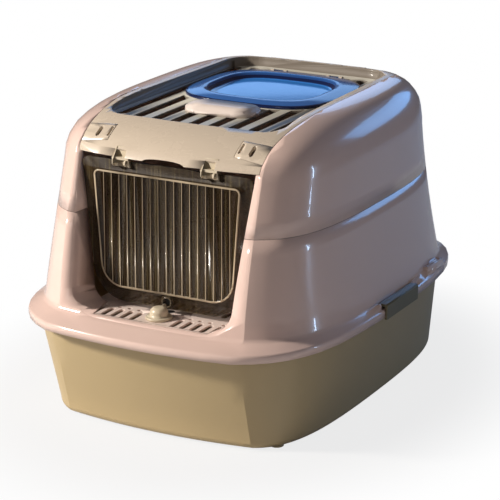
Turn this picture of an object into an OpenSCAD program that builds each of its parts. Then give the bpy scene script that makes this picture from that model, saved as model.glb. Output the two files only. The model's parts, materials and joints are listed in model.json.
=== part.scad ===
// Hooded cat litter box: pan, two-part hood, lifting top cover with grille and lid,
// hanging flap door, perforated entry deck, sliding door bolt and side clips.
// Origin on the floor at the centre of the box. Front is -Y, up is +Z.

/* [Pan] */
// How far each side of the pan draws in below the flange's edge
pan_side_in = 29; // [26:1:50]
// How far the front of the pan draws in
pan_front_in = 47; // [30:1:60]
// How far the back of the pan draws in
pan_back_in = 16; // [15:1:40]
// Height of the pan's top edge above the floor
pan_h = 124; // [100:1:150]
// Wall of the pan
pan_wall = 2.6; // [2:0.1:4]
// Radius of the pan's bottom edge
pan_edge_r = 10; // [5:0.5:14]
// Width of the lip turned out at the top of the pan
pan_lip = 9.3; // [6:0.1:10]
// Height of each moulded foot
foot_h = 1.6; // [1:0.1:4]
// Diameter of each moulded foot
foot_d = 22; // [14:1:30]

/* [Hood] */
// Width of the hood's flange, the widest part of the box
rim_w = 400; // [380:2:440]
// Length of the hood's flange
rim_l = 544; // [520:2:600]
// Height of the flange's edge
rim_edge = 9.4; // [8:0.2:14]
// How far the flange's skirt hangs below the pan's top edge
skirt = 6.3; // [4:0.1:9]
// Width of the flange left beside the hood
flange_side = 10; // [8:0.5:15]
// Height of the whole box
box_h = 352.5; // [340:0.5:380]
// From the top of the box down to the seam between the lower and the upper hood
seam_drop = 109.5; // [92.5:0.5:132.5]
// From the top of the box down to where the hood's shoulders begin
shoulder_drop = 52.5; // [46.5:0.5:62.5]
// How far each side of the hood draws in from the flange's edge to the shoulders
shoulder_in = 29; // [25:0.5:32]
// Wall of the hood and the cover
wall = 2.4; // [2:0.1:3]
// Radius of the bow in the front and back walls
bow_r = 640; // [500:10:1200]

/* [Door] */
// Height of the doorway's sill, the top of the entry deck
sill_z = 135; // [133:0.5:138]
// Width of the door at its top
door_w = 216; // [200:1:218]
// Height of the door's bottom edge
door_bottom = 141; // [139:0.5:146]
// Thickness of the door
door_t = 2.5; // [2:0.1:4]
// Spacing of the door's ribs
rib_pitch = 10; // [8:0.1:14]
// Distance between the door's two hinges
hinge_gap = 112; // [90:1:130]
// Diameter of the door's hinge pins
door_pin_d = 4; // [3:0.1:4.4]

/* [Top cover] */
// Width of the cover at its widest
cover_w = 239; // [232:1:242]
// From the top of the box down to the cover's front lip
lip_drop = 42.5; // [39.5:0.5:44.5]
// From the top of the box down to the grille in the cover's tray
tray_drop = 12; // [10.5:0.5:14.5]
// Spacing of the grille's gaps
gap_pitch = 24.5; // [20:0.5:30]
// Width of each gap in the grille
gap_w = 13; // [8:0.5:15]
// Diameter of the cover's and the lid's hinge pins
hinge_pin_d = 3.6; // [3:0.1:4]

/* [Lid] */
// Width of the lid
lid_w = 190; // [176:1:192]
// Length of the lid
lid_l = 182; // [168:1:186]
// Thickness of the lid's plate
lid_t = 2.6; // [2:0.1:2.8]
// Depth of the dish in the lid
dish_depth = 7; // [4:0.5:8]

/* [Side clips] */
// Length of each side clip
clip_l = 88; // [70:1:110]
// Diameter of the clips' hinge pins
clip_pin_d = 3; // [2.4:0.1:3.2]

/* [Hidden] */
eps = 0.01;
seat = 0.3;          // clearance between pieces that move past each other
run = 0.05;          // radial clearance of a pin in its bore
slip = 0.2;          // clearance of a piece that plugs into another
seam_z = box_h - seam_drop;
shoulder_z = box_h - shoulder_drop;
lip_z = box_h - lip_drop;
tray_z = box_h - tray_drop;
pin_fn = 48;         // facets of pins and bores
round_fn = 28;       // facets of rounded corners

// Colours
pink = [0.93, 0.84, 0.78];
khaki = [0.72, 0.62, 0.42];
beige = [0.84, 0.79, 0.68];
smoke = [0.20, 0.15, 0.11, 0.6];
lid_blue = [0.16, 0.42, 0.82, 0.7];
olive = [0.45, 0.43, 0.32];
steel = [0.70, 0.70, 0.72];
dark = [0.12, 0.11, 0.11];

// Plan of the box: a bowed front, tight corners that open into long bowed sides.
quarter_steps = 14;  // points on a quarter of the plan
bow_steps = 4;       // of which on the bowed front
crease_x = 118;      // where the bowed front ends
crease_share = 0.72; // the most of a half width that the bowed front takes
corner_angle = 26;   // slope of the plan just after the crease
corner_pull = 0.97;
side_pull = 0.61;
function bow(x) = bow_r - sqrt(bow_r * bow_r - x * x);
function bezier(p, q, r, s, t) =
    pow(1 - t, 3) * p + 3 * pow(1 - t, 2) * t * q + 3 * (1 - t) * t * t * r + pow(t, 3) * s;
function quarter_point(a, b, i) =
    let (
        kx = min(crease_x, crease_share * a),
        ky = b - bow(kx),
        corner_steps = quarter_steps - bow_steps,
        pull = corner_pull * (a - kx)
    )
    i > corner_steps
        ? let (x = kx * (quarter_steps - i) / bow_steps) [x, b - bow(x)]
        : bezier([a, 0], [a, side_pull * ky],
            [kx + pull * cos(corner_angle), ky - pull * sin(corner_angle)], [kx, ky],
            i / corner_steps);
// One ring of the plan: half width a, front and back at y = front and y = back.
function ring(a, front, back, z) =
    let (
        mid = (front + back) / 2,
        q = [for (i = [0:quarter_steps]) quarter_point(a, (back - front) / 2, i)]
    )
    concat(
        [for (i = [0:quarter_steps - 1]) [q[i].x, mid + q[i].y, z]],
        [for (i = [quarter_steps:-1:1]) [-q[i].x, mid + q[i].y, z]],
        [for (i = [0:quarter_steps - 1]) [-q[i].x, mid - q[i].y, z]],
        [for (i = [quarter_steps:-1:1]) [q[i].x, mid - q[i].y, z]]
    );
// A skin through rings of equal length, closed by its first and last ring.
module skin(rings) {
    n = len(rings[0]);
    m = len(rings);
    sides = [for (i = [0:m - 2], j = [0:n - 1]) let (k = (j + 1) % n)
        each [[i * n + j, (i + 1) * n + j, (i + 1) * n + k], [i * n + j, (i + 1) * n + k, i * n + k]]];
    ends = [[for (j = [0:n - 1]) j], [for (j = [n - 1:-1:0]) (m - 1) * n + j]];
    polyhedron(points = [for (r = rings) each r], faces = concat(ends, sides), convexity = 8);
}
// The same with no ends: the last ring joins the first.
module loop_skin(rings) {
    n = len(rings[0]);
    m = len(rings);
    polyhedron(
        points = [for (r = rings) each r],
        faces = [for (i = [0:m - 1], j = [0:n - 1]) let (k = (j + 1) % n, u = (i + 1) % m)
            each [[i * n + j, u * n + j, u * n + k], [i * n + j, u * n + k, i * n + k]]],
        convexity = 8);
}

// Hood walls: sections between the flange and the shoulders, then the rounded top.
rim_a = rim_w / 2;
rim_b = rim_l / 2;
rim_low = pan_h - skirt;
rim_top = rim_low + rim_edge;
hood_foot_h = 7.1;    // height of the slope between the flange and the walls
hood_foot_z = rim_top + hood_foot_h;
wall_a = rim_a - flange_side;
wall_front = 31;     // flange left in front of the hood
wall_back = 22;      // flange left behind the hood
shoulder_a = rim_a - shoulder_in;
shoulder_front = 70; // setback of the front wall at the shoulders, from the flange
shoulder_back = 63;  // setback of the back wall there
top_a = 118;         // half width of the flat top
top_front = 182;     // setback of the flat top's front edge
top_back = 94;       // setback of the flat top's back edge
function blend(p, q, t) = p + (q - p) * t;
function wall_share(z) = max(0, (z - hood_foot_z) / (shoulder_z - hood_foot_z));
function wall_ring(z, d) =
    let (t = wall_share(z))
    ring(
        blend(wall_a, shoulder_a, 1 - pow(1 - t, 1.8)) - d,
        -rim_b + blend(wall_front, shoulder_front, pow(t, 1.4)) + d,
        rim_b - blend(wall_back, shoulder_back, t) - d,
        z);
function top_ring(turn, d) =
    ring(
        top_a + (shoulder_a - d - top_a) * pow(cos(turn), 0.85),
        -rim_b + top_front - (top_front - shoulder_front - d) * pow(cos(turn), 1.12),
        rim_b - top_back + (top_back - shoulder_back - d) * pow(cos(turn), 0.6),
        shoulder_z + (box_h - d - shoulder_z) * sin(turn));
top_turns = [8, 20, 32, 43, 53, 62, 71, 80, 86, 89.9];
lower_wall_steps = 6;
upper_wall_steps = 3;
function wall_levels(low, high, n) = [for (i = [0:n]) blend(low, high, i / n)];
function upper_rings(low, d) = concat(
    [for (z = wall_levels(low, shoulder_z, upper_wall_steps)) wall_ring(z, d)],
    [for (turn = top_turns) top_ring(turn, d)]);
function backwards(v) = [for (i = [len(v) - 1:-1:0]) v[i]];
// A closed solid that fills the hood from z = low up, d inside its outer face,
// with a straight plinth that reaches further down where it has to cut through.
module hood_core(low, d, plinth = 0) {
    rings = upper_rings(low, d);
    skin(plinth > 0 ? concat([[for (p = rings[0]) [p.x, p.y, p.z - plinth]]], rings) : rings);
}

// Doorway and door outlines, drawn in X and Z.
front_y = -rim_b + wall_front;
door_setback = 81;            // from the flange's front edge to the door's outer face
door_y = -rim_b + door_setback;
hinge_drop = 8;
hinge_z = lip_z - hinge_drop;
hinge_y = door_y + door_t / 2;
doorway_side = 4;             // gap beside the door at the front of the doorway
doorway_back_side = 2.5;      // and at its back
doorway_over = 2;
doorway_front_w = door_w + 2 * doorway_side;
doorway_back_w = door_w + 2 * doorway_back_side;
doorway_taper = 0.045;        // how much each side draws in per mm of height
door_taper = 0.074;
doorway_back_taper = 0.066;
doorway_r = 36;
doorway_back_r = 20;
door_corner_r = 42;
reveal_depth = 6;
reveal_back = door_y + reveal_depth;
reveal_wall = 2.4;
reveal_slice = 0.5;   // straight stretch at each end of the doorway's taper
module trapezoid(top_w, top_z, low_z, taper, r, grow, top_r = 1) {
    half = top_w / 2 + grow;
    low_half = half - taper * (top_z - low_z);
    c = r + grow;
    hull() {
        for (s = [-1, 1]) {
            translate([s * (low_half - c), low_z - grow + c]) circle(c, $fn = round_fn);
            translate([s * (half - top_r), top_z + grow - top_r]) circle(top_r, $fn = round_fn);
        }
    }
}
module doorway_front(grow) {
    trapezoid(doorway_front_w, lip_z + doorway_over, sill_z, doorway_taper, doorway_r, grow);
}
module doorway_back(grow) {
    trapezoid(doorway_back_w, lip_z + doorway_over, sill_z, doorway_back_taper, doorway_back_r, grow);
}
module in_xz(y0, y1) {
    translate([0, y1, 0]) rotate([90, 0, 0]) linear_extrude(y1 - y0) children();
}

// ---- Pan ----
pan_low_z = foot_h;
pan_a = rim_a - pan_side_in;
pan_front = -rim_b + pan_front_in;
pan_back = rim_b - pan_back_in;
pan_rim_a = rim_a - wall - 1.3;
pan_rim_b = rim_b - wall - 1.3;
lip_t = 2.6;
pan_floor_t = 2.6;
pan_top_a = pan_rim_a - pan_lip;
pan_top_b = pan_rim_b - pan_lip - 1.7;
function pan_ring(z, d) =
    let (t = (z - pan_low_z - pan_edge_r) / (pan_h - pan_low_z - pan_edge_r))
    ring(blend(pan_a, pan_top_a, t) - d, blend(pan_front, -pan_top_b, t) + d,
        blend(pan_back, pan_top_b, t) - d, z);
// Rings round the pan's bottom edge, d inside its outer face.
function pan_edge_rings(d) = [for (turn = [0, 25, 50, 75])
    let (r = pan_edge_r - d, in = pan_edge_r - r * sin(turn))
    ring(pan_a - in, pan_front + in, pan_back - in, pan_low_z + pan_edge_r - r * cos(turn))];
foot_side_in = 36;
foot_end_in = 42;
foot_x = pan_a - foot_side_in;
module base_pan() {
    lip_low = pan_h - lip_t;
    color(khaki) {
        skin(concat(
            pan_edge_rings(0),
            [for (z = wall_levels(pan_low_z + pan_edge_r, lip_low, 3)) pan_ring(z, 0)],
            [ring(pan_rim_a, -pan_rim_b, pan_rim_b, lip_low)],
            [ring(pan_rim_a, -pan_rim_b, pan_rim_b, pan_h)],
            [pan_ring(pan_h, pan_wall)],
            [for (z = wall_levels(pan_h - 2, pan_low_z + pan_edge_r, 3)) pan_ring(z, pan_wall)],
            backwards(pan_edge_rings(pan_floor_t))));
        for (s = [-1, 1], y = [pan_front + foot_end_in, pan_back - foot_end_in])
            translate([s * foot_x, y, 0]) cylinder(h = foot_h + 1, d = foot_d, $fn = pin_fn);
    }
}

// ---- Lower hood ----
flange_in = 8;       // flat underside of the flange, which rests on the pan's lip
skirt_in_a = rim_a - wall;
skirt_in_b = rim_b - wall;
deck_t = 2.6;
deck_setback = 10.6;
deck_reach = 70;
deck_front = front_y + deck_setback;
deck_half = 97;
deck_back = door_y + deck_reach;
deck_rest_z = sill_z - deck_t;
clip_y = 3.5;
clip_half = clip_l / 2;
clip_axis_in = 6.6;
clip_axis_up = 3.4;
clip_axis_x = rim_a - clip_axis_in;
clip_axis_z = rim_top + clip_axis_up;
clip_r = 3;
clip_notch_gap = 0.6;
clip_ear_l = 5;
pad_y = 121;
pad_l = 50;
pad_w = 5.7;
pad_h = 11;
pad_dip = 2.5;
module lower_shell() {
    outer = concat(
        [ring(rim_a, -rim_b, rim_b, rim_low)],
        [ring(rim_a, -rim_b, rim_b, rim_top - 2.6)],
        [ring(rim_a - 0.8, -rim_b + 0.8, rim_b - 0.8, rim_top - 0.8)],
        [ring(rim_a - 2.6, -rim_b + 2.6, rim_b - 2.6, rim_top)],
        [ring(wall_a + 2.5, front_y - 6, rim_b - wall_back + 4, hood_foot_z - 2.2)],
        [ring(wall_a + 0.7, front_y - 1.6, rim_b - wall_back + 1.2, hood_foot_z)],
        [for (z = wall_levels(hood_foot_z + 3, seam_z, lower_wall_steps)) wall_ring(z, 0)]);
    inner = concat(
        [for (z = wall_levels(seam_z, hood_foot_z, lower_wall_steps)) wall_ring(z, wall)],
        [ring(wall_a - wall, front_y + 1, rim_b - wall_back - wall, pan_h + 3)],
        [ring(skirt_in_a - flange_in, -skirt_in_b + flange_in + 14, skirt_in_b - flange_in, pan_h)],
        [ring(skirt_in_a, -skirt_in_b, skirt_in_b, pan_h)],
        [ring(skirt_in_a, -skirt_in_b, skirt_in_b, rim_low)]);
    loop_skin(concat(outer, inner));
}
// The hood's outer solid from the flange up, which trims what is built inside it.
module lower_core() {
    skin(concat(
        [ring(wall_a + 0.7, front_y - 1.6, rim_b - wall_back + 1.2, rim_top)],
        [for (z = wall_levels(hood_foot_z, seam_z, lower_wall_steps)) wall_ring(z, 0.2)]));
}
module reveal(grow) {
    in_xz(-rim_b, front_y + reveal_slice) doorway_front(grow);
    hull() {
        in_xz(front_y, front_y + reveal_slice) doorway_front(grow);
        in_xz(reveal_back - reveal_slice, reveal_back) doorway_back(grow);
    }
}
module side_clip_notch(s) {
    reach = clip_r + clip_notch_gap;
    translate([s * (clip_axis_x + 20 - reach), clip_y, clip_axis_z - reach + 10])
        cube([40, clip_l + 2 * clip_notch_gap, 20], center = true);
}
// Raised ears at both ends of a side clip, which its hinge pin butts against.
module side_clip_ears(s) {
    for (e = [-1, 1])
        translate([s * clip_axis_x, clip_y + e * (clip_half + clip_ear_l / 2), clip_axis_z])
            rotate([90, 0, 0]) cylinder(h = clip_ear_l, r = clip_r, center = true, $fn = round_fn);
}
// Raised pad on the flange that gives the hand a hold when the hood is lifted.
module grip_pad(s) {
    in_x = wall_a - wall + 0.8;
    translate([s * in_x, pad_y, 0]) mirror([s < 0 ? 1 : 0, 0, 0]) difference() {
        hull() {
            translate([0, -pad_l / 2, rim_top - 2]) cube([pad_w, pad_l, 6]);
            translate([0, 3 - pad_l / 2, rim_top]) cube([pad_w - 1.6, pad_l - 6, pad_h]);
        }
        translate([-1, 6 - pad_l / 2, rim_top + pad_h - pad_dip]) cube([pad_w - 2.4, pad_l - 12, 10]);
    }
}
module hood_lower() {
    color(pink) difference() {
        union() {
            difference() {
                lower_shell();
                reveal(reveal_wall / 2);
            }
            intersection() {
                difference() {
                    reveal(reveal_wall);
                    reveal(0);
                }
                lower_core();
            }
            for (s = [-1, 1]) {
                grip_pad(s);
                side_clip_ears(s);
            }
        }
        for (s = [-1, 1]) side_clip_notch(s);
        // Seat of the entry deck, and the window that lets litter fall through it.
        translate([0, (deck_front + reveal_back) / 2 + 5, deck_rest_z + (deck_t + slip) / 2])
            cube([2 * (deck_half + slip), reveal_back - deck_front + 10 + 2 * slip, deck_t + slip],
                center = true);
        hull()
            for (sx = [-1, 1], y = [deck_front + 8, reveal_back - 6])
                translate([sx * (deck_half - 12), y, sill_z - 20])
                    cylinder(h = 19, r = 5, $fn = round_fn);
    }
}

// ---- Upper hood ----
cover_half = cover_w / 2;
cover_front_in = 11;
cover_back_in = 6.5;
cover_wide_setback = 171;
cover_back_setback = 81;
cover_front_half = cover_half - cover_front_in;
cover_wide_y = -rim_b + cover_wide_setback;
cover_back_half = cover_half - cover_back_in;
cover_corner_r = 24;
cover_back = rim_b - cover_back_setback;
cover_gap = 0.5;
hinge_r = 4.2;
hinge_roll_r = hinge_r + 0.2;
hinge_x = 50;        // middle of each cover hinge
knuckle_l = 18;
ear_t = 6;
ear_gap = 0.4;
hinge_w = knuckle_l + 2 * (ear_t + ear_gap);
hinge_plate_t = 3;
hinge_plate_h = 7;
cover_axis_y = cover_back - hinge_roll_r - seat;
cover_axis_z = box_h - hinge_r - 0.6;
rest_w = 5;          // ledge under the cover's edge
rest_t = 2.4;
rest_end_y = 150;
tongue_h = 8;
tongue_t = 1.8;
button_w = 39.5;
button_setback = 20;
button_in_x = cover_half - button_w;
button_y = door_y + button_setback;
button_l = 22;
button_gap = 0.4;
button_brim = 2;
module cover_plan(grow) {
    r = cover_corner_r + grow;
    hull() {
        polygon([for (s = [-1, 1], t = [-1, 1])
            [s * ((s * t < 0 ? cover_front_half : cover_half) + grow), s * t < 0 ? -rim_b : cover_wide_y]]);
        for (s = [-1, 1])
            translate([s * (cover_back_half + grow - r), cover_back + grow - r])
                circle(r, $fn = 2 * round_fn);
    }
}
module cover_prism(grow, low) {
    translate([0, 0, low]) linear_extrude(box_h + 10 - low) cover_plan(grow);
}
// The upper hood's part of the walls that line the doorway.
module upper_reveal() {
    intersection() {
        difference() {
            reveal(reveal_wall);
            reveal(0);
        }
        hood_core(seam_z, 0.2);
        translate([0, 0, lip_z - cover_gap - box_h]) cube([rim_w, rim_l, 2 * box_h], center = true);
    }
}
// Tongue that hangs inside the lower hood and holds the two halves together.
module upper_tongue() {
    out = wall + slip;
    difference() {
        loop_skin([
            wall_ring(seam_z - tongue_h, out + tongue_t),
            wall_ring(seam_z - tongue_h, out),
            wall_ring(seam_z + 1, out),
            wall_ring(seam_z + 1, wall - slip),
            wall_ring(seam_z + 4, wall - slip),
            wall_ring(seam_z + 4, out + tongue_t)]);
        reveal(reveal_wall + slip);
    }
}
// Ledge that the cover's edge rests on, open behind the push buttons.
module cover_rest() {
    intersection() {
        difference() {
            hood_core(seam_z, wall - slip);
            hood_core(seam_z, wall + seat + rest_t, 1);
        }
        difference() {
            cover_prism(3, lip_z + 4);
            cover_prism(-rest_w, lip_z);
            translate([0, button_y, 0])
                cube([rim_w, button_l + 2 * (button_brim + 1), 3 * box_h], center = true);
        }
        translate([0, rest_end_y - rim_l / 2, 0]) cube([rim_w, rim_l, 3 * box_h], center = true);
    }
}
module hood_upper() {
    hinge_face = cover_back + cover_gap;
    color(pink) difference() {
        union() {
            difference() {
                hood_core(seam_z, 0);
                hood_core(seam_z, wall, 1);
                reveal(reveal_wall / 2);
            }
            upper_reveal();
            upper_tongue();
            cover_rest();
            // Solid blocks behind the cover that carry its hinges.
            intersection() {
                hood_core(seam_z, slip);
                for (s = [-1, 1])
                    translate([s * hinge_x, hinge_face + 20, cover_axis_z - 3])
                        cube([hinge_w, 40, 2 * hinge_r + 16], center = true);
            }
        }
        difference() {
            cover_prism(cover_gap, lip_z - cover_gap);
            hood_core(seam_z, wall + seat, 1);
        }
        // Room for the cover's rolled back edge to turn.
        translate([0, cover_axis_y, cover_axis_z]) rotate([0, 90, 0])
            cylinder(h = 2 * cover_back_half - 8, r = hinge_roll_r + seat, center = true, $fn = pin_fn);
    }
}

// ---- Entry deck ----
slot_l = 26;
slot_w = 6.6;
slot_pitch = 12.4;
first_slot_x = 26;
slots_a_side = 5;
front_slot_in = 15.9;
back_slot_in = 29;
drain_out = 5;
front_slot_y = deck_front + front_slot_in;
back_slot_y = door_y + back_slot_in;
drain_y = door_y - drain_out;
drain_x = [33, 45.5, 58, 75];
drain_r = 2.6;
deck_corner_r = 12;
deck_rib_h = 6;
knob_out = 18.3;
knob_y = door_y - knob_out;
knob_travel = 5;
shank_r = 3;
magnet_r = 4.8;
magnet_t = 2;
sill_magnet_in = 8;
sill_magnet_y = door_y + sill_magnet_in;
module rounded_rect(w, l, r) {
    square([w - 2 * r, l], center = true);
    square([w, l - 2 * r], center = true);
    for (sx = [-1, 1], sy = [-1, 1])
        translate([sx * (w / 2 - r), sy * (l / 2 - r)]) circle(r, $fn = pin_fn);
}
module slot(w, l) {
    square([w, l - w], center = true);
    for (s = [-1, 1]) translate([0, s * (l - w) / 2]) circle(w / 2, $fn = pin_fn);
}
module entry_deck() {
    deck_mid = (deck_front + deck_back) / 2;
    color(pink) difference() {
        union() {
            translate([0, deck_mid, deck_rest_z]) linear_extrude(deck_t)
                rounded_rect(2 * deck_half, deck_back - deck_front, deck_corner_r);
            for (y = [back_slot_y + slot_l / 2 + 5, deck_back - 6])
                translate([0, y, deck_rest_z - deck_rib_h / 2 + eps])
                    cube([2 * deck_half - 30, 2.4, deck_rib_h], center = true);
        }
        for (s = [-1, 1], i = [0:slots_a_side - 1])
            translate([s * (first_slot_x + i * slot_pitch), front_slot_y, sill_z - 5])
                linear_extrude(10) slot(slot_w, slot_l);
        for (i = [-slots_a_side - 1:slots_a_side + 1])
            translate([i * slot_pitch, back_slot_y, sill_z - 5]) linear_extrude(10) slot(slot_w, slot_l);
        for (s = [-1, 1], x = drain_x)
            translate([s * x, drain_y, sill_z - 5]) cylinder(h = 10, r = drain_r, $fn = pin_fn);
        translate([0, knob_y + knob_travel / 2, sill_z - 5])
            linear_extrude(10) slot(2 * (shank_r + seat), knob_travel + 2 * (shank_r + seat));
        translate([0, sill_magnet_y, sill_z - magnet_t]) cylinder(h = 5, r = magnet_r + slip, $fn = pin_fn);
    }
}
module sill_magnet() {
    color(dark) translate([0, sill_magnet_y, sill_z - magnet_t])
        cylinder(h = magnet_t, r = magnet_r, $fn = pin_fn);
}

// ---- Door bolt ----
knob_r = 10.3;
knob_h = 13.6;
knob_round = 6.5;
knob_flange_r = 15;
knob_flange_t = 3;
bolt_r = 1.6;
tube_up = 7.5;
tube_z = door_bottom + tube_up;
tube_r = 6.5;
bolt_below = 1.7;
tube_out = 1.2;
tube_in = 19;
bolt_short = 3.7;
bolt_z = tube_z - bolt_below;
tube_front = door_y - tube_out;
tube_back = door_y + tube_in;
bolt_tip = tube_front - bolt_short;
keeper_r = 8;
keeper_t = 2.4;
screw_r = 1.5;
screw_head_r = 2.8;
shank_low_z = deck_rest_z - seat;
module door_bolt() {
    color(beige) translate([0, knob_y, 0]) difference() {
        union() {
            rotate_extrude($fn = pin_fn) {
                translate([0, sill_z + 0.2]) square([knob_flange_r - 1, knob_flange_t]);
                translate([0, sill_z + 0.2]) square([knob_flange_r, knob_flange_t - 1]);
                translate([knob_flange_r - 1, sill_z + 0.2 + knob_flange_t - 1]) intersection() {
                    circle(1, $fn = pin_fn);
                    square(1);
                }
                translate([0, sill_z + 1]) square([knob_r, knob_h - 1 - knob_round]);
                translate([0, sill_z + 1]) square([knob_r - knob_round, knob_h - 1]);
                translate([knob_r - knob_round, sill_z + knob_h - knob_round]) intersection() {
                    circle(knob_round, $fn = pin_fn);
                    square(knob_round);
                }
            }
            translate([0, 0, shank_low_z]) cylinder(h = 10, r = shank_r, $fn = pin_fn);
            translate([0, 0, bolt_z]) rotate([-90, 0, 0])
                cylinder(h = bolt_tip - knob_y, r = bolt_r, $fn = pin_fn);
        }
        translate([0, 0, shank_low_z - 1]) cylinder(h = 12, r = screw_r + run, $fn = pin_fn);
    }
}
module bolt_keeper() {
    color(dark) translate([0, knob_y, shank_low_z - keeper_t]) difference() {
        cylinder(h = keeper_t, r = keeper_r, $fn = pin_fn);
        translate([0, 0, -1]) cylinder(h = keeper_t + 2, r = screw_r + run, $fn = pin_fn);
    }
}
module keeper_screw() {
    low = shank_low_z - keeper_t;
    color(steel) translate([0, knob_y, low]) {
        cylinder(h = keeper_t + 10, r = screw_r, $fn = pin_fn);
        difference() {
            translate([0, 0, -1.8]) cylinder(h = 1.8, r = screw_head_r, $fn = pin_fn);
            translate([0, 0, -1.8]) cube([4, 0.8, 1.4], center = true);
            translate([0, 0, -1.8]) cube([0.8, 4, 1.4], center = true);
        }
    }
}

// ---- Door ----
door_over = 3;
rib_drop = 18;
rib_up = 16;
rib_side = 15;
frame_w = 2.2;
frame_r = 28;
frame_top_r = 7;
door_top_r = 8;
door_top_z = hinge_z + door_over;
rib_top_z = lip_z - rib_drop;
rib_low_z = door_bottom + rib_up;
rib_r = 2.2;
rib_proud = 1.4;
panel_w = door_w - 2 * rib_side;
knuckle_half = 4.2;
cheek_in = knuckle_half + seat;
cheek_out = 10.4;
door_hinge_r = 4;
collar_t = 1;
collar_w = 1.4;
socket_end = 2;
door_magnet_l = 12;
rib_taper = 0.058;
function panel_half(z) = panel_w / 2 - rib_taper * (rib_top_z - z);
// How far a rib's foot rises where the frame rounds its lower corner.
function rib_rise(x) =
    let (over = abs(x) + rib_r - panel_half(rib_low_z) + frame_r)
    over > 0 ? frame_r - sqrt(frame_r * frame_r - over * over) : 0;
module door_outline() {
    trapezoid(door_w, door_top_z, door_bottom, door_taper, door_corner_r, 0, door_top_r);
}
module door_notch(s) {
    translate([s * hinge_gap / 2, hinge_y, hinge_z + door_hinge_r + 1])
        cube([2 * (cheek_out + seat), 8 * door_t, 4 * (door_hinge_r + 1)], center = true);
}
module door_panel() {
    ribs = floor((panel_half(rib_low_z) - 2 * rib_r) / rib_pitch);
    color(smoke) {
        difference() {
            in_xz(door_y, door_y + door_t) door_outline();
            for (s = [-1, 1]) door_notch(s);
            translate([0, tube_front - 1, tube_z]) rotate([-90, 0, 0])
                cylinder(h = tube_back - tube_front, r = tube_r + run, $fn = pin_fn);
        }
        // Raised frame and upright ribs of the ribbed panel.
        difference() {
            in_xz(door_y - rib_proud, door_y + eps)
                trapezoid(panel_w, rib_top_z, rib_low_z, rib_taper, frame_r, 0, frame_top_r);
            in_xz(door_y - rib_proud - 1, door_y + 1)
                trapezoid(panel_w - 2 * frame_w, rib_top_z - frame_w, rib_low_z + frame_w, rib_taper,
                    frame_r - frame_w, 0, frame_top_r - frame_w);
        }
        for (i = [-ribs:ribs])
            translate([i * rib_pitch, door_y + rib_r - rib_proud, rib_low_z + 1 + rib_rise(i * rib_pitch)])
                intersection() {
                    cylinder(h = rib_top_z - rib_low_z - 2 - rib_rise(i * rib_pitch), r = rib_r, $fn = 24);
                    translate([-2 * rib_r, -2 * rib_r, 0]) cube([4 * rib_r, 2 * rib_r + eps, box_h]);
                }
        for (s = [-1, 1]) translate([s * hinge_gap / 2, hinge_y, hinge_z]) difference() {
            union() {
                rotate([0, 90, 0])
                    cylinder(h = 2 * knuckle_half, r = door_hinge_r, center = true, $fn = pin_fn);
                translate([0, 0, -4]) cube([2 * knuckle_half, door_t, 8], center = true);
            }
            rotate([0, 90, 0]) cylinder(h = 30, r = door_pin_d / 2 + run, center = true, $fn = pin_fn);
        }
    }
}
// Tube set in the foot of the door: its mouth takes the bolt, and it holds a magnet.
module bolt_socket() {
    tube_l = tube_back - tube_front;
    color(smoke) translate([0, tube_front, tube_z]) rotate([-90, 0, 0]) difference() {
        union() {
            cylinder(h = tube_l, r = tube_r, $fn = pin_fn);
            translate([0, 0, tube_out - collar_t])
                cylinder(h = collar_t, r = tube_r + collar_w, $fn = pin_fn);
        }
        translate([0, 0, -1]) cylinder(h = tube_l + 1 - socket_end, r = magnet_r, $fn = pin_fn);
    }
}
module door_magnet() {
    color(dark) translate([0, tube_back - socket_end - door_magnet_l, tube_z]) rotate([-90, 0, 0])
        cylinder(h = door_magnet_l, r = magnet_r - run, $fn = pin_fn);
}
module door_hinge_clip(s) {
    plate_low = hinge_z + 5;
    color(beige) translate([s * hinge_gap / 2, hinge_y, 0]) {
        translate([0, 0.5, (plate_low + lip_z) / 2])
            cube([2 * cheek_out, 14, lip_z - plate_low], center = true);
        for (e = [-1, 1]) translate([e * (cheek_in + cheek_out) / 2, 0, hinge_z]) difference() {
            union() {
                rotate([0, 90, 0])
                    cylinder(h = cheek_out - cheek_in, r = hinge_r, center = true, $fn = pin_fn);
                translate([0, 0, 2.6]) cube([cheek_out - cheek_in, 2 * hinge_r, 5.2], center = true);
            }
            rotate([0, 90, 0]) cylinder(h = 30, r = door_pin_d / 2 + run, center = true, $fn = pin_fn);
        }
    }
}
module door_pin(s) {
    color(steel) translate([s * hinge_gap / 2, hinge_y, hinge_z]) rotate([0, 90, 0])
        cylinder(h = 2 * cheek_out, r = door_pin_d / 2, center = true, $fn = pin_fn);
}

// ---- Top cover ----
tray_wall = 1.8;
tray_inset = rest_w + cover_gap + tray_wall;
tray_t = 2.4;
tray_setback = 128;
tray_front = -rim_b + tray_setback;
tray_back = cover_axis_y - hinge_r - ear_gap - tray_wall;
tray_corner_r = 25;
tray_back_r = 35;
lid_a = lid_w / 2;
lid_b = lid_l / 2;
lid_back_gap = 24;
lid_back = tray_back - lid_back_gap;
lid_y = lid_back - lid_b;
lid_squareness = 3.2;
lid_lift = 1.1;       // height of the lid's seat above the grille
lid_seat_z = tray_z + lid_lift;
lid_edge_t = 3;
lid_rim_w = 3;
seat_t = 3.6;
seat_out = 1.2;       // how far the lid's edge stands out over its seat
seat_in = 7;
gap_front_in = 10;
gap_back_in = 16;
gap_front = tray_front + gap_front_in;
gap_count = 9;
notch_h = 11;
notch_top_z = lip_z + notch_h;
notch_half = 6.7;
finger_w = 52;
finger_h = 3.6;
lid_hinge_x = 38;
lid_hinge_r = 3;
lid_knuckle_l = 12;
lid_ear_t = 4.5;
lid_hinge_w = lid_knuckle_l + 2 * (lid_ear_t + seat);
lid_plate_t = 1.4;
lid_axis_y = lid_back;
lid_axis_z = lid_seat_z;
hinge_floor_z = lid_axis_z - lid_hinge_r - 0.7;
lid_relief = 0.5;
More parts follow.
